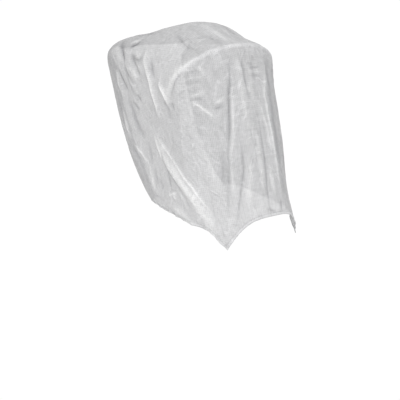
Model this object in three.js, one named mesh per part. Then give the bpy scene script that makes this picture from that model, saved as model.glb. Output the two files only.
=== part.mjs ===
// Mosquito net for a stroller: a hood of fine white netting with an elastic hem all round.
// It is open underneath and at the back, and keeps the shape in which it hangs over a canopy.
// Sizes are in millimetres: X to the front, Y to the left, Z up.
// The origin is on the inner face at the top of the dome, where the net rests on what it covers.

import * as THREE from "three";

// Driving dimensions
const SHEET = 2; // thickness of the netting
const HEM = 3; // thickness of the turned hem, with its elastic inside
const STEPS_PER_SECTION = 4; // steps from one row of SECTIONS to the next
const STEPS_ACROSS = 60; // steps from one foot over the top to the other foot
const WALL_STEPS = 24; // points that draw one wall of a section before they are spaced out
const ARCH_STEPS = 60; // points that draw one half of its arch
const BELLY_SKEW = 0.7; // below 1, the side wall bellies lowest down
const BOW = 2.7; // how late the plan of a section turns forward from its shoulder
const SLACK = 2.5; // height of the slow unevenness all over the sheet
const SLACK_WAVES = [{ along: 61, up: 83, phase: 0.4 }, { along: 97, up: 71, phase: 2.1 }];

// Each row is one section across the hood, from the rear edge to the front hem.
// It starts at the foot, on the side hem, climbs a wall to the shoulder and crosses over the crown.
// belly sends the middle of the wall back, flat widens the top and round turns the shoulder.
const SECTION_COLUMNS = [
  "footX", "footY", "footZ", "belly", "shoulderX", "shoulderY", "shoulderZ",
  "crownX", "crownZ", "flat", "round",
];
const SECTIONS = [
  [-50, 200, -670, 68, -396, 203, -172, -350, -62, 3.2, 3.0], // rear edge, between the handle's arms
  [-10, 202, -670, 60, -330, 207, -177, -275, -50, 2.9, 2.8],
  [40, 204, -671, 45, -235, 208, -187, -175, -28, 2.4, 2.4],
  [100, 204, -671, 30, -125, 208, -197, -60, -3, 2.1, 2.1],
  [150, 203, -671, 18, -30, 208, -205, 50, -3, 2.0, 2.1], // top of the dome
  [190, 202, -671, 10, 60, 209, -210, 148, -31, 1.95, 1.95],
  [225, 201, -671, 5, 149, 210, -221, 247, -57, 1.95, 2.5], // front hoop
  [250, 200, -671, 0, 178, 203, -302, 276, -130, 2.2, 2.4],
  [285, 192, -671, 0, 226, 190, -392, 320, -250, 2.4, 2.2],
  [320, 178, -679, 0, 282, 173, -502, 368, -390, 2.6, 2.0],
  [359, 163, -709, 0, 338, 155, -632, 412, -527, 2.8, 1.5],
  [394, 150, -730, 0, 394, 150, -729, 443, -620, 3.5, 1.0], // front hem, an arch over the footwell
].map((row) => Object.fromEntries(SECTION_COLUMNS.map((name, i) => [name, row[i]])));

// Each row is one fold that the sheet keeps: a ridge of positive height or a trough of negative height.
// Its run is seen from the side as X and Z, from the front as Y and Z, or from above as X and Y.
const FOLD_COLUMNS = ["seen", "run", "reach", "height"];
const FOLDS = [
  ["right", [[-10, -395], [110, -500], [239, -565], [350, -690]], 26, 11], // over the seat's side
  ["right", [[-235, -480], [-120, -560]], 20, 7],
  ["right", [[-105, -90], [-79, -136], [-22, -200], [40, -330]], 18, 9], // over the rear bow
  ["right", [[-190, -120], [-100, -215]], 16, -9], // pleats that spread from the arm
  ["right", [[-262, -105], [-190, -190], [-150, -270]], 17, 9],
  ["right", [[-315, -90], [-222, -150], [-185, -220]], 16, -8],
  ["right", [[-330, -180], [-225, -260], [-170, -370]], 18, -8],
  ["right", [[30, -195], [120, -270]], 17, 7],
  ["right", [[60, -640], [210, -655], [330, -690]], 20, 5],
  ["left", [[-10, -410], [120, -520], [235, -570], [345, -680]], 26, 10],
  ["left", [[-100, -100], [-60, -180], [20, -320]], 18, 8],
  ["left", [[-250, -115], [-170, -230], [-150, -310]], 18, 9],
  ["left", [[-300, -130], [-230, -220], [-200, -330]], 17, -8],
  ["left", [[-190, -420], [-60, -560]], 22, -7],
  ["front", [[-52, -75], [-88, -230], [-104, -338], [-122, -440]], 14, -9], // under the hoop
  ["front", [[-24, -80], [-30, -185], [-52, -340]], 17, 7],
  ["front", [[6, -280], [5, -402], [-9, -590]], 15, -8],
  ["front", [[-70, -360], [-108, -606]], 15, -7],
  ["front", [[66, -90], [80, -247], [62, -378], [61, -546], [63, -630]], 18, 9], // along the left seat tube
  ["front", [[112, -130], [118, -300], [108, -520]], 20, -8],
  ["above", [[34, -42], [204, -24]], 22, 5],
  ["above", [[-300, 60], [-150, 20]], 26, -6],
].map((row) => Object.fromEntries(FOLD_COLUMNS.map((name, i) => [name, row[i]])));
const FACING = [0.1, 0.6]; // a fold fades in as the sheet turns to the view that the fold is drawn in
const FOLD_ENDS = 0.6; // below 1, a fold keeps its height nearer to its ends

// The rear edge turns in behind the frame as a gathered strip, which stops where the handle's arms leave
const RETURN_ANGLES = [28, 58, 84]; // degrees from the run of the sheet, one for each step
const RETURN_STEP = 19;
const RETURN_LEAST = 0.2; // share of the strip that is left at an arm
const ARM = { x: -392, y: 190, z: -105, reach: 42 };
const GATHERS = 9; // waves that the elastic draws into the strip
const GATHER_HEIGHT = 4;
const GATHER_DRIFT = 5; // steps over which the waves come a little early, then late

const mix = THREE.MathUtils.lerp;

// A smooth run through the rows of SECTIONS for one column
function through(column, place) {
  const last = SECTIONS.length - 1;
  const i = Math.min(Math.floor(place), last - 1);
  const t = place - i;
  const at = (k) => SECTIONS[THREE.MathUtils.clamp(k, 0, last)][column];
  const slope = (k) => (at(k + 1) - at(k - 1)) / (k > 0 && k < last ? 2 : 1);
  const t2 = t * t;
  const t3 = t2 * t;
  return (
    at(i) * (2 * t3 - 3 * t2 + 1) + slope(i) * (t3 - 2 * t2 + t) +
    at(i + 1) * (3 * t2 - 2 * t3) + slope(i + 1) * (t3 - t2)
  );
}

// One side of a section, from its foot to the crown, as closely spaced points
function halfSection(place) {
  const s = Object.fromEntries(SECTION_COLUMNS.map((name) => [name, through(name, place)]));
  const points = [];
  for (let i = 0; i < WALL_STEPS; i++) {
    const t = i / WALL_STEPS;
    const back = s.belly * Math.sin(Math.PI * t ** BELLY_SKEW);
    points.push(new THREE.Vector3(
      mix(s.footX, s.shoulderX, t) - back,
      mix(s.footY, s.shoulderY, t),
      mix(s.footZ, s.shoulderZ, t),
    ));
  }
  for (let i = 0; i <= ARCH_STEPS; i++) {
    const k = Math.cos((Math.PI / 2) * (i / ARCH_STEPS));
    points.push(new THREE.Vector3(
      mix(s.shoulderX, s.crownX, 1 - k ** BOW),
      s.shoulderY * k,
      mix(s.shoulderZ, s.crownZ, (1 - k ** s.flat) ** (1 / s.round)),
    ));
  }
  return points;
}

// count + 1 points at even distances along a run of points
function evenly(points, count) {
  const reach = [0];
  for (let i = 1; i < points.length; i++) {
    reach.push(reach[i - 1] + points[i].distanceTo(points[i - 1]));
  }
  const total = reach[reach.length - 1];
  const spaced = [];
  for (let n = 0, i = 1; n <= count; n++) {
    const want = (total * n) / count;
    while (i < points.length - 1 && reach[i] < want) i++;
    const t = (want - reach[i - 1]) / (reach[i] - reach[i - 1]);
    spaced.push(points[i - 1].clone().lerp(points[i], t));
  }
  return spaced;
}

// A whole section from the right foot (-Y) over the crown to the left foot (+Y)
function section(place) {
  const half = evenly(halfSection(place), STEPS_ACROSS / 2);
  const right = half.map((p) => new THREE.Vector3(p.x, -p.y, p.z));
  const left = half.slice(0, -1).reverse();
  return right.concat(left);
}

function hoodRows() {
  const rows = [];
  const steps = (SECTIONS.length - 1) * STEPS_PER_SECTION;
  for (let i = 0; i <= steps; i++) {
    rows.push(section(i / STEPS_PER_SECTION));
  }
  return rows;
}

// Unit normals of a grid of points, pointing out of the hood
function gridNormals(rows) {
  return rows.map((row, i) => row.map((_, j) => {
    const ahead = rows[Math.min(i + 1, rows.length - 1)][j];
    const behind = rows[Math.max(i - 1, 0)][j];
    const left = row[Math.min(j + 1, row.length - 1)];
    const right = row[Math.max(j - 1, 0)];
    const forward = ahead.clone().sub(behind);
    const across = left.clone().sub(right);
    return forward.cross(across).normalize();
  }));
}

// How a point and its normal look in the view that a fold is drawn in: two coordinates and a facing share
function seenAs(view, point, normal) {
  const facing = {
    right: -normal.y,
    left: normal.y,
    front: normal.x,
    above: normal.z,
  }[view];
  const [a, b] = {
    right: [point.x, point.z],
    left: [point.x, point.z],
    front: [point.y, point.z],
    above: [point.x, point.y],
  }[view];
  return { a, b, share: THREE.MathUtils.smoothstep(facing, ...FACING) };
}

// Height of one fold at a place: full along the middle of its run, fading to its ends and sides
function foldHeight(fold, place) {
  const legs = fold.run.slice(1).map(([a, b], i) => {
    const [a0, b0] = fold.run[i];
    return { a0, b0, da: a - a0, db: b - b0, length: Math.hypot(a - a0, b - b0) };
  });
  const total = legs.reduce((sum, leg) => sum + leg.length, 0);
  let nearest = Infinity;
  let along = 0;
  let before = 0;
  for (const leg of legs) {
    const dot = (place.a - leg.a0) * leg.da + (place.b - leg.b0) * leg.db;
    const t = THREE.MathUtils.clamp(dot / leg.length ** 2, 0, 1);
    const gap = Math.hypot(place.a - leg.a0 - t * leg.da, place.b - leg.b0 - t * leg.db);
    if (gap < nearest) {
      nearest = gap;
      along = (before + t * leg.length) / total;
    }
    before += leg.length;
  }
  return fold.height * Math.exp(-((nearest / fold.reach) ** 2)) * Math.sin(Math.PI * along) ** FOLD_ENDS;
}

// The slow rise and fall of slack cloth
function slack(point) {
  let height = 0;
  for (const { along, up, phase } of SLACK_WAVES) {
    const wave = Math.sin(point.x / along + phase) * Math.cos(point.z / up + point.y / along);
    height += (SLACK * wave) / SLACK_WAVES.length;
  }
  return height;
}

function foldedRows(rows) {
  const normals = gridNormals(rows);
  return rows.map((row, i) => row.map((point, j) => {
    const normal = normals[i][j];
    let height = slack(point);
    for (const fold of FOLDS) {
      const place = seenAs(fold.seen, point, normal);
      if (place.share > 0) height += place.share * foldHeight(fold, place);
    }
    return point.clone().addScaledVector(normal, height);
  }));
}

// Rows of the strip behind the rear edge, from its hem to the row next to the edge
function returnRows(rows) {
  const normals = gridNormals(rows);
  const strip = [];
  let edge = rows[0];
  RETURN_ANGLES.forEach((angle, step) => {
    const turn = THREE.MathUtils.degToRad(angle);
    edge = edge.map((point, j) => {
      const run = rows[0][j].clone().sub(rows[1][j]).normalize();
      const arm = new THREE.Vector3(ARM.x, Math.sign(point.y) * ARM.y, ARM.z);
      const nearArm = Math.exp(-((rows[0][j].distanceTo(arm) / ARM.reach) ** 2));
      const reach = RETURN_STEP * (1 - (1 - RETURN_LEAST) * nearArm);
      const wave = Math.sin((2 * Math.PI * GATHERS * j) / STEPS_ACROSS + Math.sin(j / GATHER_DRIFT));
      const gather = (GATHER_HEIGHT * wave * (step + 1) * reach) / (RETURN_ANGLES.length * RETURN_STEP);
      return point.clone()
        .addScaledVector(run, reach * Math.cos(turn) + gather * Math.sin(turn))
        .addScaledVector(normals[0][j], gather * Math.cos(turn) - reach * Math.sin(turn));
    });
    strip.unshift(edge);
  });
  return strip;
}

// A closed sheet: the outer face, the inner face under it, and the rim between them
function sheetGeometry(rows) {
  const normals = gridNormals(rows);
  const high = rows.length;
  const wide = rows[0].length;
  const positions = [];
  for (const side of [0, 1]) {
    rows.forEach((row, i) => row.forEach((point, j) => {
      const atRim = i === 0 || j === 0 || i === high - 1 || j === wide - 1;
      const depth = side * (atRim ? HEM : SHEET);
      positions.push(...point.clone().addScaledVector(normals[i][j], -depth).toArray());
    }));
  }
  const index = [];
  const at = (side, i, j) => side * high * wide + i * wide + j;
  const quad = (a, b, c, d) => index.push(a, b, c, a, c, d);
  for (let i = 0; i < high - 1; i++) {
    for (let j = 0; j < wide - 1; j++) {
      quad(at(0, i, j), at(0, i + 1, j), at(0, i + 1, j + 1), at(0, i, j + 1));
      quad(at(1, i, j), at(1, i, j + 1), at(1, i + 1, j + 1), at(1, i + 1, j));
    }
  }
  for (let i = 0; i < high - 1; i++) {
    quad(at(0, i, 0), at(1, i, 0), at(1, i + 1, 0), at(0, i + 1, 0));
    quad(at(0, i, wide - 1), at(0, i + 1, wide - 1), at(1, i + 1, wide - 1), at(1, i, wide - 1));
  }
  for (let j = 0; j < wide - 1; j++) {
    quad(at(0, 0, j), at(0, 0, j + 1), at(1, 0, j + 1), at(1, 0, j));
    quad(at(0, high - 1, j), at(1, high - 1, j), at(1, high - 1, j + 1), at(0, high - 1, j + 1));
  }
  const geometry = new THREE.BufferGeometry();
  geometry.setAttribute("position", new THREE.Float32BufferAttribute(positions, 3));
  geometry.setIndex(index);
  return geometry;
}

const netting = new THREE.MeshStandardMaterial({ color: 0xdcdcda, roughness: 0.9, metalness: 0 });

const cover = foldedRows(hoodRows());
const hood = new THREE.Mesh(sheetGeometry(returnRows(cover).concat(cover)), netting);
hood.name = "net_hood";

const net = new THREE.Group();
net.add(hood);
export default net;
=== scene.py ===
# Mosquito net: one hood of fine white netting with an elastic hem all round.
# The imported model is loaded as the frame. Everything is in metres, X to the front and Z up.

import math

import bmesh
import bpy
import numpy as np
from mathutils import Matrix, Vector, noise


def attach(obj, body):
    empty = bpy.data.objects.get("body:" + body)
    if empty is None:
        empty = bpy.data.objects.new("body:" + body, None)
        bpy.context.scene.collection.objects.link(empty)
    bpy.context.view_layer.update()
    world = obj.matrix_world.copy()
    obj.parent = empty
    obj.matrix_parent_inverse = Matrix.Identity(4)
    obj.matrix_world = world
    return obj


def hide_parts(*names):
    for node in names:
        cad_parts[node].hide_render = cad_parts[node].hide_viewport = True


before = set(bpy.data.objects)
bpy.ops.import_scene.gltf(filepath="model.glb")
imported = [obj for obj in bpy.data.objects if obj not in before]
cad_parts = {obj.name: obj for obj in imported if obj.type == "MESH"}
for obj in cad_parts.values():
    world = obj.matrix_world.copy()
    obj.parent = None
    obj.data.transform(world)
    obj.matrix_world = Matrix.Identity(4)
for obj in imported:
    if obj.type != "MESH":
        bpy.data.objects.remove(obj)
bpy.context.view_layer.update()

MM = 0.001

# Steps of the sheet, counted as faces
HALF_ACROSS = 138  # from one foot to the crown
PER_SECTION = 14  # from one row of SECTIONS to the next
STRIP_STEPS = 12  # on the strip that turns in behind the rear edge
WALL_POINTS = 160  # points that draw a wall before they are spaced out
ARCH_POINTS = 320  # points that draw half an arch

BELLY_SKEW = 0.7  # below 1, the side wall bellies lowest down
BOW = 2.7  # how late the plan of a section turns forward from its shoulder
SLACK = 2.5  # mm, height of the slow unevenness all over the sheet
SLACK_WAVES = ((61, 83, 0.4), (97, 71, 2.1))  # mm along, mm up, phase

# Each row is one section across the hood in mm, from the rear edge to the front hem.
# It starts at the foot, climbs a wall to the shoulder and crosses over the crown.
SECTION_COLUMNS = (
    "foot_x", "foot_y", "foot_z", "belly", "shoulder_x", "shoulder_y", "shoulder_z",
    "crown_x", "crown_z", "flat", "round",
)
SECTIONS = np.array((
    (-50, 200, -670, 68, -396, 203, -172, -350, -62, 3.2, 3.0),  # rear edge
    (-10, 202, -670, 60, -330, 207, -177, -275, -50, 2.9, 2.8),
    (40, 204, -671, 45, -235, 208, -187, -175, -28, 2.4, 2.4),
    (100, 204, -671, 30, -125, 208, -197, -60, -3, 2.1, 2.1),
    (150, 203, -671, 18, -30, 208, -205, 50, -3, 2.0, 2.1),  # top of the dome
    (190, 202, -671, 10, 60, 209, -210, 148, -31, 1.95, 1.95),
    (225, 201, -671, 5, 149, 210, -221, 247, -57, 1.95, 2.5),  # the brow, a ridge over the front
    (250, 200, -671, 0, 178, 203, -302, 276, -130, 2.2, 2.4),
    (285, 192, -671, 0, 226, 190, -392, 320, -250, 2.4, 2.2),
    (320, 178, -679, 0, 282, 173, -502, 368, -390, 2.6, 2.0),
    (359, 163, -709, 0, 338, 155, -632, 412, -527, 2.8, 1.5),
    (394, 150, -730, 0, 394, 150, -729, 443, -620, 3.5, 1.0),  # front hem, an arch
), dtype=float)
BROW_ROW = 6

# Each row is one large fold in mm: a ridge of positive height or a trough of negative height.
# Its run is seen from the side as X and Z, from the front as Y and Z, or from above as X and Y.
FOLDS = (
    ("right", ((-10, -395), (110, -500), (239, -565), (350, -690)), 26, 8),  # down to the low point
    ("right", ((-235, -480), (-120, -560)), 20, 4),
    ("right", ((-105, -90), (-79, -136), (-22, -200), (40, -330)), 18, 9),  # down behind the brow
    ("right", ((-190, -120), (-100, -215)), 16, -7),  # pleats that spread from the notch
    ("right", ((-262, -105), (-190, -190), (-150, -270)), 17, 7),
    ("right", ((-315, -90), (-222, -150), (-185, -220)), 16, -6),
    ("right", ((-330, -180), (-225, -260), (-170, -370)), 18, -6),
    ("right", ((30, -195), (120, -270)), 17, 7),
    ("right", ((60, -640), (210, -655), (330, -690)), 20, 5),
    ("left", ((-10, -410), (120, -520), (235, -570), (345, -680)), 26, 10),
    ("left", ((-100, -100), (-60, -180), (20, -320)), 18, 8),
    ("left", ((-250, -115), (-170, -230), (-150, -310)), 18, 9),
    ("left", ((-300, -130), (-230, -220), (-200, -330)), 17, -8),
    ("left", ((-190, -420), (-60, -560)), 22, -7),
    ("front", ((-52, -75), (-88, -230), (-104, -338), (-122, -440)), 14, -2),  # under the brow
    ("front", ((-24, -80), (-30, -185), (-52, -340)), 17, 4),
    ("front", ((6, -280), (5, -402), (-9, -590)), 15, -3),
    ("front", ((-70, -360), (-108, -606)), 15, -2),
    ("front", ((66, -90), (80, -247), (62, -378), (61, -546), (63, -630)), 18, 4),
    ("front", ((112, -130), (118, -300), (108, -520)), 20, -5),
    ("above", ((34, -42), (204, -24)), 22, 5),
    ("above", ((-300, 60), (-150, 20)), 26, -6),
    ("above", ((-420, -215), (-365, -160), (-325, -112), (-245, -85), (-180, -40)), 40, -8),
)
FACING = (0.1, 0.6)  # a fold fades in as the sheet turns to the view that it is drawn in
FOLD_ENDS = 0.6  # below 1, a fold keeps its height nearer to its ends

# Each row is one crease in mm, seen in the same ways: its run, its reach and its height. The height also
# paints the colour, with painted shade in a trough and a painted highlight along a ridge
CREASES = (
    # rear edge and the pleats that spread from the notch
    ("right", ((-335, -80), (-290, -105), (-235, -150)), 9, -3.0),
    ("right", ((-350, -95), (-300, -122), (-262, -165)), 8, 1.5),
    ("right", ((-305, -100), (-250, -140), (-215, -190), (-150, -232)), 6, -3.4),
    ("right", ((-285, -125), (-225, -168), (-185, -205)), 8, 2.6),
    ("right", ((-200, -125), (-160, -155), (-115, -195)), 6, -3.8),
    ("right", ((-190, -165), (-160, -190), (-132, -218)), 8, 2.4),
    ("right", ((-180, -140), (-145, -160), (-100, -182)), 8, 2.6),
    ("right", ((-200, -112), (-165, -136), (-125, -136), (-100, -112)), 7, -2.4),
    ("right", ((-175, -108), (-150, -127), (-130, -116)), 8, 2.4),
    ("right", ((-305, -170), (-280, -210), (-245, -245), (-215, -268)), 7, -3.4),
    ("right", ((-320, -190), (-295, -240), (-260, -290)), 7, 3.4),
    ("right", ((-240, -170), (-205, -225), (-150, -270)), 5, -3.0),
    ("right", ((-220, -205), (-155, -238), (-112, -305)), 8, 2.4),
    ("right", ((-140, -262), (-100, -288)), 5, -3.4),
    ("right", ((-175, -215), (-150, -250), (-125, -300)), 8, -2.4),
    ("right", ((-180, -295), (-120, -326)), 5, -3.0),
    ("right", ((-230, -290), (-180, -340), (-125, -400), (-80, -420)), 14, -3.2),
    ("right", ((-60, -430), (-50, -455), (-30, -515)), 9, -2.0),
    ("right", ((-280, -340), (-240, -405), (-210, -460)), 12, 3.6),
    ("right", ((-310, -300), (-275, -375), (-235, -450)), 8, -2.4),
    ("right", ((-230, -100), (-195, -85), (-175, -75)), 6, -4.0),
    ("right", ((-245, -88), (-210, -76), (-180, -66)), 6, 3.0),
    # down behind the brow
    ("right", ((-100, -95), (-80, -135), (-25, -195), (25, -290), (40, -330)), 7, 4.2),
    ("right", ((-55, -120), (-20, -160), (5, -190)), 8, -3.2),
    ("right", ((-75, -150), (-35, -205), (5, -290)), 7, -2.0),
    ("right", ((40, -195), (78, -226), (100, -250), (116, -268)), 6, 5.0),
    ("right", ((122, -252), (142, -280)), 6, -2.4),
    ("right", ((75, -255), (100, -280), (115, -320)), 9, -1.8),
    # along the large fold down the side
    ("right", ((-190, -465), (-115, -490), (-60, -525)), 5, 3.2),
    ("right", ((-200, -485), (-130, -515), (-80, -560)), 8, -2.2),
    ("right", ((-12, -396), (10, -425), (45, -470), (110, -510), (195, -550)), 6, 3.6),
    ("right", ((0, -385), (60, -428), (138, -472), (246, -536), (330, -622)), 5, 2.6),
    ("right", ((-5, -402), (20, -428), (85, -478), (170, -518), (250, -572), (315, -638),
               (350, -690)), 16, 3.5),
    ("right", ((40, -470), (110, -522), (190, -572)), 7, -2.0),
    ("right", ((80, -610), (145, -582)), 5, 2.4),
    ("right", ((35, -445), (80, -510), (110, -592)), 5, -3.0),
    ("right", ((20, -555), (50, -605)), 8, -2.2),
    ("right", ((-20, -540), (10, -590)), 8, -2.0),
    ("right", ((116, -603), (142, -606)), 6, 2.6),
    ("right", ((185, -625), (255, -655), (310, -672)), 8, -1.4),
    ("right", ((150, -565), (200, -600), (235, -640)), 8, 1.8),
    ("right", ((90, -640), (190, -652), (300, -680)), 18, 2.2),
    ("right", ((-58, -520), (-36, -580), (-25, -645)), 12, 2.4),
    # the brow's right end, which leans back, and short creases in front of it
    ("right", ((205, -90), (185, -110), (165, -130), (145, -155), (125, -190), (105, -220),
               (98, -250)), 13, 3.0),
    ("right", ((180, -140), (158, -165), (138, -200), (122, -235)), 5, -2.2),
    ("right", ((203, -226), (225, -215), (247, -204)), 5, 2.4),
    ("right", ((205, -240), (240, -256), (282, -287)), 5, 2.8),
    ("right", ((212, -231), (255, -232)), 5, -1.2),
    ("right", ((185, -150), (226, -132)), 4, -0.9),
    ("right", ((178, -178), (205, -160), (238, -158)), 4, 1.1),
    ("right", ((196, -186), (222, -170)), 4, -0.8),
    ("right", ((180, -205), (212, -186), (240, -184)), 4, 1.0),
    ("right", ((160, -226), (192, -200)), 4, -1.4),
    ("right", ((165, -246), (190, -222)), 4, -1.1),
    ("right", ((215, -115), (236, -156)), 5, 1.6),
    ("front", ((-126, -242), (-100, -220)), 5, 2.6),
    ("front", ((-132, -262), (-108, -246)), 5, -2.0),
    # down the front
    ("front", ((-60, -80), (-70, -150), (-85, -215), (-90, -250), (-100, -330), (-118, -420)), 4, -2.6),
    ("front", ((-112, -390), (-124, -500), (-136, -620)), 4, -1.3),
    ("front", ((-70, -190), (-80, -255), (-90, -345), (-115, -440)), 5, 1.8),
    ("front", ((-45, -70), (-40, -105), (-35, -155), (-40, -220), (-40, -315), (-55, -395)), 12, 1.2),
    ("front", ((-20, -85), (-20, -125), (-20, -175), (-15, -240)), 6, -1.7),
    ("front", ((0, -100), (2, -190), (-2, -270)), 8, 1.4),
    ("front", ((-5, -135), (70, -130)), 4, -1.0),
    ("front", ((0, -145), (70, -148)), 4, 1.0),
    ("front", ((-5, -156), (70, -166)), 4, -1.0),
    ("front", ((20, -105), (24, -175)), 6, -1.6),
    ("front", ((-16, -185), (-10, -212)), 5, 2.2),
    ("front", ((15, -230), (30, -270), (40, -340), (45, -425)), 6, 1.6),
    ("front", ((10, -280), (10, -355), (10, -435), (0, -515), (-6, -600)), 4, -2.0),
    ("front", ((-8, -330), (-10, -430), (-18, -540)), 8, 1.6),
    ("front", ((28, -420), (24, -500), (26, -580)), 8, 1.6),
    ("front", ((-70, -350), (-75, -445), (-88, -505), (-105, -575), (-125, -660)), 4, -1.7),
    ("front", ((-52, -400), (-60, -480), (-78, -570)), 8, 1.8),
    ("front", ((-125, -385), (-140, -525)), 6, -1.2),
    ("front", ((-106, -440), (-116, -540)), 6, 1.0),
    ("front", ((-150, -300), (-160, -420), (-150, -560)), 9, 0.8),
    ("front", ((95, -100), (54, -225), (55, -340), (56, -455), (57, -575)), 5, 2.2),
    # a trough near the far edge of the front, whose colour is painted darker there as shade
    ("front", ((120, -95), (82, -225), (80, -340), (80, -455), (82, -600)), 15, -2.6),
    ("front", ((150, -200), (140, -320), (132, -470)), 9, 1.8),
    ("front", ((85, -95), (100, -170), (105, -260)), 10, -1.6),
    # a wide shallow trough over the far edge of the front, painted darker as shade on that strip
    ("front", ((165, -110), (168, -330), (150, -620)), 36, -3.4),
    ("front", ((-18, -592), (22, -608)), 5, -2.2),
    ("front", ((50, -570), (46, -612)), 5, -2.2),
    # over the dome
    ("above", ((120, -40), (180, -35), (235, -35)), 6, 1.4),
    ("above", ((110, -70), (170, -62), (225, -64)), 8, -1.6),
    ("above", ((10, -122), (80, -130), (138, -134)), 6, -1.8),
    ("above", ((30, -42), (110, -34), (200, -22)), 8, 1.2),
    ("above", ((-20, 30), (70, 44), (150, 40)), 10, -1.8),
    ("above", ((-300, 60), (-220, 42), (-150, 20)), 10, -2.6),
    ("above", ((-310, -70), (-220, -60), (-130, -76)), 10, 2.4),
    ("above", ((-290, -130), (-200, -120), (-110, -132)), 9, -2.4),
    ("above", ((-250, 130), (-150, 120), (-60, 130)), 10, 2.0),
    # left side
    ("left", ((-5, -400), (80, -455), (130, -500)), 8, 4.0),
    ("left", ((60, -440), (150, -495), (250, -570), (345, -680)), 9, 3.2),
    ("left", ((110, -520), (190, -575), (250, -640)), 9, -3.0),
    ("left", ((-100, -100), (-60, -180), (20, -320)), 8, 3.6),
    ("left", ((-60, -120), (-25, -180), (20, -250)), 8, -2.6),
    ("left", ((-190, -130), (-130, -200), (-90, -270)), 8, -3.6),
    ("left", ((-250, -115), (-170, -230), (-150, -310)), 8, 3.2),
    ("left", ((-300, -130), (-230, -220), (-200, -330)), 8, -3.4),
    ("left", ((-330, -200), (-290, -290), (-240, -370)), 8, 2.4),
    ("left", ((-210, -300), (-150, -380), (-80, -440)), 12, -3.0),
    ("left", ((-190, -420), (-60, -560)), 10, -2.4),
    ("left", ((-160, -470), (-90, -520), (-30, -600)), 8, 2.4),
    ("left", ((60, -260), (130, -360), (180, -460)), 11, 2.0),
    ("left", ((205, -90), (165, -130), (145, -155), (120, -195), (95, -255)), 13, 3.0),
    ("left", ((50, -200), (92, -238), (122, -280)), 6, 3.6),
    ("left", ((200, -150), (228, -170)), 6, -2.4),
    ("left", ((202, -185), (240, -200)), 6, 2.6),
    ("left", ((205, -215), (250, -245)), 6, -2.4),
)
CREASE_ENDS = 0.75  # as FOLD_ENDS
FAR = 40.0  # mm, where no crease is near
SHOWN = 0.1  # share of a crease from which it may have a sharp pressed line
SOFT_REACH = 8  # mm, from which a crease is too soft for a sharp pressed line
LINE_FADE = (3.0, 9.0)  # mm from a crease, where its sharp pressed line fades out

# The rear edge turns in as a gathered strip, which runs out at a notch on each side
STRIP_ANGLES = (14.0, 98.0)  # degrees from the run of the sheet, at its edge and at its hem
STRIP_REACH = 57.0  # mm
STRIP_LEAST = 0.2  # share of the strip that is left at a notch
NOTCH = np.array((-392.0, 190.0, -105.0))
NOTCH_REACH = 42.0  # mm
# also how much darker the cloth is painted next to a notch, partly as denser gathered cloth and partly
# as painted shade
BUNCHED_AND_SHADE = 0.7  # how much stronger the small creases are next to a notch
BUNCHED_AND_SHADE_REACH = 240.0  # mm
GATHERS = 9  # waves that the elastic draws into the strip
GATHER_HEIGHT = 4.0  # mm
GATHER_DRIFT = 23.0  # steps over which the waves come a little early, then late

# Small puckers that the elastic draws into the cloth next to every hem
PUCKER_PITCH = 21.0  # mm
PUCKER_HEIGHT = 2.4
PUCKER_FADE = 26.0
PUCKER_LEAST = 0.03  # share of the height, below which a pucker is left out
PUCKER_SEED = 3.7

# The way in which small streaks run on each side of the hood: two axes, degrees from the first one,
# the axis that the side faces and its sign
LEANS = (
    ((0, 2), -46, 1, -1),
    ((0, 2), -46, 1, 1),
    ((1, 2), 92, 0, 1),
    ((0, 1), 4, 2, 1),
)
TURN_SHARE = (0.45, 0.85)  # streaks fade in as the sheet turns to their side
# Height, pitch and length of the streaks in mm, and the seed of their noise
STREAKS = (
    (1.4, 34, 110, 1.3),
    (1.1, 17, 42, 8.6),
)
STREAK_DRIFT = 1.2  # pitches by which a streak wanders
DRIFT_SCALE = (60, 45)  # mm along and beside the streaks

HEM_WIDTH = 13.0  # mm
HEM_BLUR = 3.0  # mm over which the hem runs out into the single cloth
# the band along the brow is also painted lighter, partly as denser cloth and partly as a painted
# highlight
HEM_STARTS = (0, 777, 1555, 2333)  # mm, so that the puckers differ from one side's hem to the next
BROW_BAND = 9.0  # mm, half width of the denser band along the brow
BROW_RISE = 3.6  # mm
BROW_SHADE = 17.0  # mm ahead of the brow, where the cloth sinks below it
BROW_SINK = 0.6  # share of the rise
BROW_ENDS = (-220, -140)  # mm up, where the band starts and is full on the walls
WALLS_APART = 2.0  # m between the patterns of the two walls, so that they differ
WALL_SHARE = (0.6, 0.85)  # how far the sheet faces sideways, where a wall starts and is whole
SHEET_THICKNESS = 1.1  # mm, drawn thicker than the real netting so that it has two faces
HEM_THICKNESS = 2.6


def smooth(value, low, high):
    t = np.clip((value - low) / (high - low), 0, 1)
    return t * t * (3 - 2 * t)


def through(place):
    """The row of SECTIONS at a place between two of them, on a smooth run through all."""
    last = len(SECTIONS) - 1
    i = min(int(place), last - 1)
    t = place - i
    before, here, after, beyond = (SECTIONS[min(max(i + k, 0), last)] for k in (-1, 0, 1, 2))
    leave = (after - before) / (2 if i > 0 else 1)
    arrive = (beyond - here) / (2 if i + 1 < last else 1)
    row = (
        here * (2 * t**3 - 3 * t**2 + 1) + leave * (t**3 - 2 * t**2 + t)
        + after * (3 * t**2 - 2 * t**3) + arrive * (t**3 - t**2)
    )
    return dict(zip(SECTION_COLUMNS, row))


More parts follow.
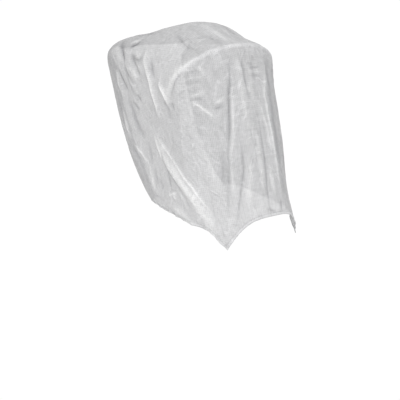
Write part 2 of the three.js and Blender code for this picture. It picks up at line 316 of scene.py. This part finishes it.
def section(place):
    """Points in mm at even distances from the right foot (-Y) over the crown to the left foot."""
    s = through(place)
    t = np.arange(WALL_POINTS) / WALL_POINTS
    wall = np.stack((
        s["foot_x"] + (s["shoulder_x"] - s["foot_x"]) * t - s["belly"] * np.sin(np.pi * t**BELLY_SKEW),
        s["foot_y"] + (s["shoulder_y"] - s["foot_y"]) * t,
        s["foot_z"] + (s["shoulder_z"] - s["foot_z"]) * t,
    ), axis=1)
    k = np.cos(np.linspace(0, math.pi / 2, ARCH_POINTS + 1))
    k[-1] = 0
    rise = (1 - k ** s["flat"]) ** (1 / s["round"])
    arch = np.stack((
        s["shoulder_x"] + (s["crown_x"] - s["shoulder_x"]) * (1 - k**BOW),
        s["shoulder_y"] * k,
        s["shoulder_z"] + (s["crown_z"] - s["shoulder_z"]) * rise,
    ), axis=1)
    points = np.concatenate((wall, arch))
    reach = np.concatenate(([0], np.cumsum(np.linalg.norm(np.diff(points, axis=0), axis=1))))
    want = np.linspace(0, reach[-1], HALF_ACROSS + 1)
    half = np.stack([np.interp(want, reach, points[:, axis]) for axis in range(3)], axis=1)
    return np.concatenate((half * (1, -1, 1), half[-2::-1]))


def grid_normals(grid):
    forward = np.gradient(grid, axis=0)
    across = np.gradient(grid, axis=1)
    normals = np.cross(forward, across)
    return normals / np.linalg.norm(normals, axis=2, keepdims=True)


def distances(grid, axis):
    """How far each point lies along the cloth from the first one, in mm."""
    steps = np.linalg.norm(np.diff(grid, axis=axis), axis=2)
    start = np.zeros_like(np.take(steps, [0], axis=axis))
    return np.concatenate((start, np.cumsum(steps, axis=axis)), axis=axis)


def along_run(points, run):
    """The gap from each point to a run of points, below 0 on its right, and the share passed by then."""
    run = np.array(run, dtype=float)
    legs = np.diff(run, axis=0)
    lengths = np.linalg.norm(legs, axis=1)
    nearest = np.full(points.shape[:-1], np.inf)
    passed = np.zeros(points.shape[:-1])
    for start, leg, length, before in zip(run, legs, lengths, np.cumsum(lengths) - lengths):
        t = np.clip((points - start) @ leg / length**2, 0, 1)
        aside = points - start - t[..., None] * leg
        gap = np.linalg.norm(aside, axis=-1)
        closer = gap < np.abs(nearest)
        left = leg[0] * aside[..., 1] > leg[1] * aside[..., 0]
        nearest = np.where(closer, np.where(left, gap, -gap), nearest)
        passed = np.where(closer, (before + t * length) / lengths.sum(), passed)
    return nearest, passed


def slack(grid):
    x, y, z = np.moveaxis(grid, 2, 0)
    waves = [
        np.sin(x / along + phase) * np.cos(z / up + y / along) for along, up, phase in SLACK_WAVES
    ]
    return SLACK * sum(waves) / len(waves)


def folds(grid, normals, table, ends):
    """How far the folds of a table lift or sink each point, and the gap to and height of the nearest
    sharp one, all in mm."""
    views = {
        "right": ((0, 2), -normals[..., 1]),
        "left": ((0, 2), normals[..., 1]),
        "front": ((1, 2), normals[..., 0]),
        "above": ((0, 1), normals[..., 2]),
    }
    height = np.zeros(grid.shape[:2])
    nearest = np.full(grid.shape[:2], FAR)
    at_nearest = np.zeros(grid.shape[:2])
    for seen, run, reach, rise in table:
        axes, facing = views[seen]
        gap, passed = along_run(grid[..., axes], run)
        shown = smooth(facing, *FACING) * rise * np.sin(np.pi * passed) ** ends
        height += shown * np.exp(-((gap / reach) ** 2))
        sharp = (smooth(facing, *FACING) > SHOWN) & (reach < SOFT_REACH)
        closer = (np.abs(gap) < np.abs(nearest)) & sharp
        nearest = np.where(closer, gap, nearest)
        at_nearest = np.where(closer, shown, at_nearest)
    return height, nearest, at_nearest * (1 - smooth(np.abs(nearest), *LINE_FADE))


def streaks(grid, normals, pitch, length, seed):
    """Soft uneven ridges that run the way that LEANS gives for each side of the hood, from -1 to 1."""
    field = np.zeros(grid.shape[:2])
    for (axis_a, axis_b), degrees, normal_axis, sign in LEANS:
        a, b = grid[..., axis_a], grid[..., axis_b]
        turn = math.radians(degrees)
        run = a * math.cos(turn) + b * math.sin(turn)
        beside = b * math.cos(turn) - a * math.sin(turn)
        share = smooth(sign * normals[..., normal_axis], *TURN_SHARE)
        for i, j in zip(*np.nonzero(share > 0)):
            drift = STREAK_DRIFT * noise.noise(
                Vector((run[i, j] / DRIFT_SCALE[0], beside[i, j] / DRIFT_SCALE[1], seed + 5))
            )
            at = Vector((beside[i, j] / pitch + drift, run[i, j] / length, seed + 9 * normal_axis))
            field[i, j] += share[i, j] * noise.noise(at)
    return field


def near_notch(points, reach):
    """1 at the notch on the same side, and less further away from it."""
    mirrored = points * (1, 0, 1) + np.abs(points) * (0, 1, 0)
    return np.exp(-((np.linalg.norm(mirrored - NOTCH, axis=-1) / reach) ** 2))


def strip(grid, normals):
    """Rows of the strip behind the rear edge, from its hem to the row next to the edge."""
    run = grid[0] - grid[1]
    run /= np.linalg.norm(run, axis=1, keepdims=True)
    reach = STRIP_REACH / STRIP_STEPS * (1 - (1 - STRIP_LEAST) * near_notch(grid[0], NOTCH_REACH))
    steps = np.arange(grid.shape[1])
    wave = np.sin(2 * np.pi * GATHERS * steps / (grid.shape[1] - 1) + np.sin(steps / GATHER_DRIFT))
    rows = []
    edge = grid[0]
    for step in range(STRIP_STEPS):
        share = (step + 0.5) / STRIP_STEPS
        turn = math.radians(STRIP_ANGLES[0] + (STRIP_ANGLES[1] - STRIP_ANGLES[0]) * share)
        gather = GATHER_HEIGHT * 2 * share / STRIP_STEPS * wave * reach * STRIP_STEPS / STRIP_REACH
        edge = (
            edge + run * (reach * math.cos(turn) + gather * math.sin(turn))[:, None]
            + normals[0] * (gather * math.cos(turn) - reach * math.sin(turn))[:, None]
        )
        rows.insert(0, edge)
    return np.array(rows)


def hem_gap(grid):
    """How far each point lies from the nearest hem, and a place along that hem, in mm."""
    across, along = distances(grid, 1), distances(grid, 0)
    gaps = np.stack((across, across[:, -1:] - across, along[-1:] - along, along))
    runs = (along[:, :1], along[:, -1:], across[-1:], across[:1])
    places = np.stack([run * np.ones_like(across) + start for run, start in zip(runs, HEM_STARTS)])
    return gaps, places


def puckers(grid):
    gaps, places = hem_gap(grid)
    height = np.zeros(grid.shape[:2])
    for gap, place in zip(gaps, places):
        share = np.exp(-gap / PUCKER_FADE)
        for i, j in zip(*np.nonzero(share > PUCKER_LEAST)):
            at = Vector((place[i, j] / PUCKER_PITCH, gap[i, j] / (4 * PUCKER_FADE), PUCKER_SEED))
            height[i, j] += PUCKER_HEIGHT * share[i, j] * 2 * noise.noise(at)
    return height, gaps.min(axis=0)


def net_shape():
    """The hood's points in mm, and what its material needs to know about them."""
    places = np.arange((len(SECTIONS) - 1) * PER_SECTION + 1) / PER_SECTION
    hood = np.array([section(place) for place in places])
    normals = grid_normals(hood)
    ahead = distances(hood, 0) - distances(hood, 0)[BROW_ROW * PER_SECTION]
    brow = np.exp(-((ahead / BROW_BAND) ** 2))
    under_brow = np.exp(-(((ahead - BROW_SHADE) / BROW_BAND) ** 2))
    over_arch = smooth(hood[..., 2], *BROW_ENDS)
    folded = hood + normals * (slack(hood) + folds(hood, normals, FOLDS, FOLD_ENDS)[0])[..., None]
    folded_normals = grid_normals(folded)
    crease, line_gap, line_rise = folds(folded, folded_normals, CREASES, CREASE_ENDS)
    fine = crease.copy()
    for rise, pitch, length, seed in STREAKS:
        fine += rise * streaks(folded, folded_normals, pitch, length, seed)
    fine += BROW_RISE * (brow - BROW_SINK * under_brow) * over_arch
    hood = folded + folded_normals * fine[..., None]
    turned_in = strip(folded, normals)
    whole = np.concatenate((turned_in, hood))
    folded_whole = np.concatenate((turned_in, folded))
    pucker, gap = puckers(whole)
    whole = whole + grid_normals(whole) * pucker[..., None]
    zero = np.zeros((STRIP_STEPS, hood.shape[1]))
    return whole, {
        "hem": 1 - smooth(gap, HEM_WIDTH - HEM_BLUR, HEM_WIDTH),
        "hem_gap": gap * MM,
        "brow": np.concatenate((zero, brow * over_arch)),
        "crease": np.concatenate((zero, crease)),
        "line_gap": np.concatenate((zero + FAR, line_gap)),
        "line_rise": np.concatenate((zero, line_rise)),
        "bunched_and_shade": BUNCHED_AND_SHADE * near_notch(whole, BUNCHED_AND_SHADE_REACH),
        "side": smooth(np.abs(grid_normals(folded_whole)[..., 1]), *WALL_SHARE),
    }


def net_object():
    """The sheet as one grid of faces, which a modifier gives its thickness and its thicker hem."""
    shape, facts = net_shape()
    rows, columns = shape.shape[:2]
    made = bmesh.new()
    bmesh.ops.create_grid(made, x_segments=columns - 1, y_segments=rows - 1, size=0.5)
    across, along = distances(shape, 1) * MM, distances(shape, 0) * MM
    middle = across[:, columns // 2][:, None]
    layers = {name: made.verts.layers.float.new(name) for name in facts}
    hem_group = made.verts.layers.deform.verify()
    cloth = made.loops.layers.uv.new("cloth")
    wall = made.loops.layers.uv.new("wall")
    places = {}
    for vert in made.verts:
        j = round((vert.co.x + 0.5) * (columns - 1))
        i = round((vert.co.y + 0.5) * (rows - 1))
        places[vert] = (across[i, j] - middle[i, 0], along[i, j])
        vert.co = Vector(shape[i, j]) * MM
        vert[hem_group][0] = facts["hem"][i, j]
        for name, layer in layers.items():
            vert[layer] = facts[name][i, j]
    for face in made.faces:
        face.smooth = True
        for loop in face.loops:
            loop[cloth].uv = places[loop.vert]
            loop[wall].uv = (loop.vert.co.x + math.copysign(WALLS_APART, loop.vert.co.y), loop.vert.co.z)
    top = max(made.faces, key=lambda face: face.calc_center_median().z)
    if top.normal.z < 0:
        bmesh.ops.reverse_faces(made, faces=made.faces)
    mesh = bpy.data.meshes.new("netting_hood")
    made.to_mesh(mesh)
    made.free()
    net = bpy.data.objects.new("netting_hood", mesh)
    bpy.context.scene.collection.objects.link(net)
    net.vertex_groups.new(name="hem")
    faces = net.modifiers.new("thickness", "SOLIDIFY")
    faces.thickness = HEM_THICKNESS * MM
    faces.offset = -1
    faces.vertex_group = "hem"
    faces.thickness_vertex_group = SHEET_THICKNESS / HEM_THICKNESS
    return net


def colour(code):
    """A colour written as sRGB hex, as the linear values that a shader reads."""
    parts = [int(code[i:i + 2], 16) / 255 for i in (0, 2, 4)]
    return tuple(c / 12.92 if c <= 0.04045 else ((c + 0.055) / 1.055) ** 2.4 for c in parts) + (1.0,)


def add(tree, kind, inputs=None, **settings):
    """Adds a node with its settings. Each input is given a value or another node's output."""
    made = tree.nodes.new("ShaderNode" + kind)
    for name, value in settings.items():
        setattr(made, name, value)
    for name, value in (inputs or {}).items():
        if isinstance(value, bpy.types.NodeSocket):
            tree.links.new(value, made.inputs[name])
        else:
            made.inputs[name].default_value = value
    return made


def bands(pitch):
    """The scale at which a Wave Texture repeats every pitch mm."""
    return math.pi / 10 / (pitch * MM)


# Warp-knitted polyester netting: white yarn, matt, with open meshes that let about a sixth of the
# light straight through two faces. The real meshes are 1.3 mm, too fine to show here, so they are
# drawn at 6.4 mm, with uneven yarn every 5.5 mm that gives the cloth its visible grain.
MESH_PITCH = 6.4
GRAIN_PITCH = 5.5
THREAD_SCALE = 12.0  # per m, how slowly the yarn changes along a thread
STITCH_ROW = 10.0  # mm from the edge of the hem
STITCH_HALF = 0.8  # mm
CRINKLE_SCALE = (1000 / 17, 1000 / 48, 1.0)  # soft creases from packing, 17 mm apart and 48 mm long
# Sharp creases from packing: the size of the facets that they go round, their turn, the width of a
# line as a share of a facet, and the scale of the patches that have them
FACETS = (
    ((1000 / 38, 1000 / 60, 1.0), 0.3, 0.10, 30.0),
    ((1000 / 17, 1000 / 31, 1.0), -0.5, 0.13, 21.0),
)
PATCH_EDGE = (0.46, 0.60)  # share of the cloth in which these creases fade in
WANDER_SCALE = 22.0  # per m
WANDER = (0.012, 0.012, 0.0)  # m by which the facets' edges wander off a straight line
LINE_HALF = 4.2  # mm, half the width of the sharp line along a crease
SPECK_PITCH = 9.0  # mm between the small uneven spots that a fine open net shows
WALL_SLANT = 135.0  # degrees, so that creases fall to the front on the walls


def warp_knitted_netting():
    material = bpy.data.materials.new("warp_knitted_polyester_netting")
    material.use_nodes = True
    tree = material.node_tree
    tree.nodes.clear()
    hem, brow, crease, line_gap, line_rise, bunched_and_shade, side, hem_gap = (
        add(tree, "Attribute", attribute_name=name).outputs["Fac"]
        for name in ("hem", "brow", "crease", "line_gap", "line_rise", "bunched_and_shade", "side", "hem_gap")
    )

    # each pattern is drawn along the cloth and once more across the walls, and the two are mixed
    drawn = []
    for uv_map, slant in (("cloth", 0.0), ("wall", math.radians(WALL_SLANT))):
        cloth = add(tree, "UVMap", uv_map=uv_map).outputs["UV"]

        # the knitted meshes
        thread = {"Vector": cloth, "Scale": bands(MESH_PITCH), "Distortion": 0.6, "Detail": 1.0}
        wales = add(tree, "TexWave", thread, bands_direction="X").outputs["Fac"]
        courses = add(tree, "TexWave", thread, bands_direction="Y").outputs["Fac"]
        meshes = add(tree, "Math", {0: wales, 1: courses}, operation="MAXIMUM").outputs[0]

        # uneven yarn, long along each thread and short across it
        uneven = []
        for scale in ((1000 / GRAIN_PITCH, THREAD_SCALE, 1.0), (THREAD_SCALE, 1000 / GRAIN_PITCH, 1.0)):
            stretched = add(tree, "Mapping", {"Vector": cloth, "Scale": scale}).outputs[0]
            uneven.append(add(tree, "TexNoise", {"Vector": stretched, "Scale": 1.0,
                                                 "Detail": 2.0}).outputs["Fac"])
        threads = add(tree, "Math", {0: uneven[0], 1: uneven[1]}, operation="ADD").outputs[0]

        # soft creases left by folding: down the cloth in front and on top, on the slant at the walls
        turned = add(tree, "Mapping", {"Vector": cloth, "Rotation": (0.0, 0.0, slant)}).outputs[0]
        laid = add(tree, "Mapping", {"Vector": turned, "Scale": CRINKLE_SCALE}).outputs[0]
        crinkles = add(tree, "TexNoise", {"Vector": laid, "Scale": 1.0, "Detail": 4.0,
                                          "Roughness": 0.6, "Distortion": 0.8}).outputs["Fac"]

        # sharp creases left by folding: broken straight lines between flat facets, large and small
        wander = add(tree, "TexNoise", {"Vector": cloth, "Scale": WANDER_SCALE,
                                        "Detail": 1.0}).outputs["Color"]
        bent = add(tree, "VectorMath", {0: wander, 1: WANDER, 2: turned},
                   operation="MULTIPLY_ADD").outputs[0]
        lines = []
        for size, turn, width, patches in FACETS:
            facets = add(tree, "Mapping", {"Vector": bent, "Rotation": (0.0, 0.0, turn),
                                           "Scale": size}).outputs[0]
            edge = add(tree, "TexVoronoi", {"Vector": facets, "Scale": 1.0},
                       feature="DISTANCE_TO_EDGE").outputs["Distance"]
            line = add(tree, "MapRange", {"Value": edge, "From Max": width, "To Min": 1.0,
                                          "To Max": 0.0}, interpolation_type="SMOOTHSTEP").outputs[0]
            where = add(tree, "TexNoise", {"Vector": cloth, "Scale": patches,
                                           "Detail": 1.0}).outputs["Fac"]
            kept = add(tree, "MapRange", {"Value": where, "From Min": PATCH_EDGE[0],
                                          "From Max": PATCH_EDGE[1]}).outputs[0]
            lines.append(add(tree, "Math", {0: line, 1: kept}, operation="MULTIPLY").outputs[0])
        drawn.append((meshes, threads, crinkles, *lines))
    yarn, grain, crinkle, large_line, small_line = (
        add(tree, "Mix", {"Factor": side, "A": over, "B": beside}).outputs["Result"]
        for over, beside in zip(*drawn)
    )
    small_line = add(tree, "Math", {0: small_line, 1: bunched_and_shade, 2: small_line},
                     operation="MULTIPLY_ADD").outputs[0]

    # the sharp line along the top or bottom of each crease listed in CREASES
    off_line = add(tree, "Math", {0: line_gap}, operation="ABSOLUTE").outputs[0]
    core = add(tree, "MapRange", {"Value": off_line, "From Max": LINE_HALF, "To Min": 1.0,
                                  "To Max": 0.0}, interpolation_type="SMOOTHSTEP").outputs[0]
    # its colour is painted darker along a trough's line and lighter along a ridge's, as painted shade
    # and highlight
    pleat = add(tree, "Math", {0: core, 1: line_rise}, operation="MULTIPLY").outputs[0]

    # the uneven spots, drawn once and flat across the walls
    wall = add(tree, "UVMap", uv_map="wall").outputs["UV"]
    speck = add(tree, "TexNoise", {"Vector": wall, "Scale": 1000 / SPECK_PITCH,
                                   "Detail": 2.0}).outputs["Fac"]

    # cover: what share of the light each face of the cloth stops
    mesh_cover = add(tree, "MapRange", {"Value": yarn, "From Min": 0.35, "To Min": 0.53,
                                        "To Max": 0.64}).outputs[0]
    crinkle_cover = add(tree, "MapRange", {"Value": crinkle, "From Min": 0.3, "From Max": 0.7,
                                           "To Min": -0.04, "To Max": 0.04}).outputs[0]
    crease_cover = add(tree, "MapRange", {"Value": crease, "From Min": -4.0, "From Max": 4.0,
                                          "To Min": 0.07, "To Max": 0.0}).outputs[0]
    cover = mesh_cover
    for part, share in ((crinkle_cover, 1.0), (crease_cover, 1.0), (large_line, 0.03),
                        (small_line, 0.025), (pleat, -0.012), (hem, 0.35), (brow, 0.16)):
        cover = add(tree, "Math", {0: part, 1: share, 2: cover}, operation="MULTIPLY_ADD",
                    use_clamp=True).outputs[0]

    # colour: a cool white with painted shade in the bottom of each crease and a painted highlight along
    # its top, from the crease's height.
    # Each row gives a part, its range and the share of the light that it keeps at both ends.
    crease_shading = add(tree, "MapRange", {"Value": crease, "From Min": -3.2, "From Max": 3.2}).outputs[0]
    shade = add(tree, "Mix", {"Factor": crease_shading, "A": colour("b6b6b9"), "B": colour("ffffff")},
                data_type="RGBA").outputs["Result"]
    levels = None
    for part, low, high, least, most in (
        # crinkle: darker where the crinkles sink and lighter where they rise, painted shade and
        # highlight; grain and speck are the yarn's own unevenness
        (crinkle, 0.3, 0.7, 0.94, 1.04), (grain, 0.7, 1.3, 0.975, 1.02), (speck, 0.3, 0.7, 0.93, 1.07),
        # sharp crease lines: a painted highlight along the raised large ones, painted shade along the
        # sunk small ones
        (large_line, 0.0, 1.0, 1.0, 1.13), (small_line, 0.0, 3.0, 1.0, 0.76),
        # brow: lighter, partly the denser cloth and partly a painted highlight; hem: the denser doubled
        # cloth
        (pleat, -4.0, 4.0, 0.74, 1.22), (brow, 0.0, 1.0, 1.0, 1.14), (hem, 0.0, 1.0, 1.0, 1.05),
        # next to a notch: darker, partly as denser gathered cloth and partly as painted shade
        (bunched_and_shade, 0.0, BUNCHED_AND_SHADE, 1.0, 0.88),
    ):
        level = add(tree, "MapRange", {"Value": part, "From Min": low, "From Max": high,
                                       "To Min": least, "To Max": most}).outputs[0]
        levels = level if levels is None else add(tree, "Math", {0: levels, 1: level},
                                                  operation="MULTIPLY").outputs[0]
    paint = add(tree, "VectorMath", {0: shade, 3: levels}, operation="SCALE").outputs[0]

    # relief in mm: crinkles, uneven yarn, meshes and the row of stitches in the hem
    row = add(tree, "Math", {0: hem_gap, 1: STITCH_ROW * MM, 2: STITCH_HALF * MM},
              operation="COMPARE").outputs[0]
    relief = None
    for part, rise in ((crinkle, 2.0), (large_line, 1.2), (small_line, -0.6), (pleat, 0.35),
                       (speck, 1.0), (grain, 0.15), (yarn, 0.15), (row, -0.6)):
        relief = add(tree, "Math", {0: part, 1: rise, 2: relief or 0.0},
                     operation="MULTIPLY_ADD").outputs[0]
    bump = add(tree, "Bump", {"Height": relief, "Strength": 1.0, "Distance": MM})
    rough = add(tree, "MapRange", {"Value": yarn, "To Min": 0.92, "To Max": 0.74})

    surface = add(tree, "BsdfPrincipled", {
        "Base Color": paint, "Roughness": rough.outputs[0], "Alpha": cover,
        "Normal": bump.outputs[0], "Specular IOR Level": 0.3, "Sheen Weight": 0.25,
        "Sheen Roughness": 0.5,
    })
    add(tree, "OutputMaterial", {"Surface": surface.outputs[0]})
    return material


FLOOR_Z = -1.102
FLOOR_HALF = 30
FLOOR_SEEN = 1.02  # brightness of the plain floor and room in the picture
ROOM_SEEN = 1.05
ROOM_LIGHT = 0.60
# Name, the way to the lamp, its width in degrees and its strength
LAMPS = (
    ("key", (0.80, -0.50, 0.60), 20, 1.46),
    ("back", (-0.6, 0.2, 0.75), 60, 0.3),
)


def matt_floor():
    material = bpy.data.materials.new("matt_white_floor")
    material.use_nodes = True
    tree = material.node_tree
    tree.nodes.clear()
    seen = add(tree, "LightPath").outputs["Is Camera Ray"]
    matt = add(tree, "BsdfDiffuse", {"Color": colour("d8d8d8")})
    lit = add(tree, "Emission", {"Color": colour("ffffff"), "Strength": FLOOR_SEEN})
    both = add(tree, "MixShader", {0: seen, 1: matt.outputs[0], 2: lit.outputs[0]})
    add(tree, "OutputMaterial", {"Surface": both.outputs[0]})
    return material


def studio():
    made = bmesh.new()
    bmesh.ops.create_grid(made, x_segments=1, y_segments=1, size=FLOOR_HALF)
    bmesh.ops.translate(made, verts=made.verts, vec=(0, 0, FLOOR_Z))
    mesh = bpy.data.meshes.new("floor")
    made.to_mesh(mesh)
    made.free()
    mesh.materials.append(matt_floor())
    floor = bpy.data.objects.new("floor", mesh)
    bpy.context.scene.collection.objects.link(floor)

    world = bpy.data.worlds.new("white_room")
    world.use_nodes = True
    tree = world.node_tree
    tree.nodes.clear()
    seen = add(tree, "LightPath").outputs["Is Camera Ray"]
    strength = add(tree, "MapRange", {"Value": seen, "To Min": ROOM_LIGHT, "To Max": ROOM_SEEN})
    light = add(tree, "Background", {"Color": (1.0, 1.0, 1.0, 1.0), "Strength": strength.outputs[0]})
    add(tree, "OutputWorld", {"Surface": light.outputs[0]})
    bpy.context.scene.world = world

    for name, place, width, strength in LAMPS:
        lamp = bpy.data.lights.new(name, "SUN")
        lamp.angle = math.radians(width)
        lamp.energy = strength
        held = bpy.data.objects.new(name, lamp)
        held.rotation_euler = Vector(place).to_track_quat("Z", "Y").to_euler()
        bpy.context.scene.collection.objects.link(held)


# The camera stands in front of the hood's right side, a little above it
CAMERA_PLACE = (2.1428, -1.3785, 0.1812)
CAMERA_AZIMUTH = 57.49
CAMERA_ELEVATION = 18.83
CAMERA_ROLL = -0.08
CAMERA_LENS = 60.53  # mm
CAMERA_SENSOR = 36


def camera():
    turn, lift = math.radians(CAMERA_AZIMUTH), math.radians(CAMERA_ELEVATION)
    right = Vector((math.cos(turn), math.sin(turn), 0))
    back = Vector((math.sin(turn) * math.cos(lift), -math.cos(turn) * math.cos(lift), math.sin(lift)))
    up = back.cross(right)
    seen = bpy.data.cameras.new("camera")
    seen.lens = CAMERA_LENS
    seen.sensor_width = CAMERA_SENSOR
    held = bpy.data.objects.new("camera", seen)
    held.matrix_world = (
        Matrix.Translation(CAMERA_PLACE)
        @ Matrix((right, up, back)).transposed().to_4x4()
        @ Matrix.Rotation(math.radians(CAMERA_ROLL), 4, "Z")
    )
    bpy.context.scene.collection.objects.link(held)
    bpy.context.scene.camera = held


camera()
studio()
bpy.context.scene.view_settings.view_transform = "Standard"

net = net_object()
net.data.materials.append(warp_knitted_netting())
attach(net, "root")
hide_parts("net_hood")
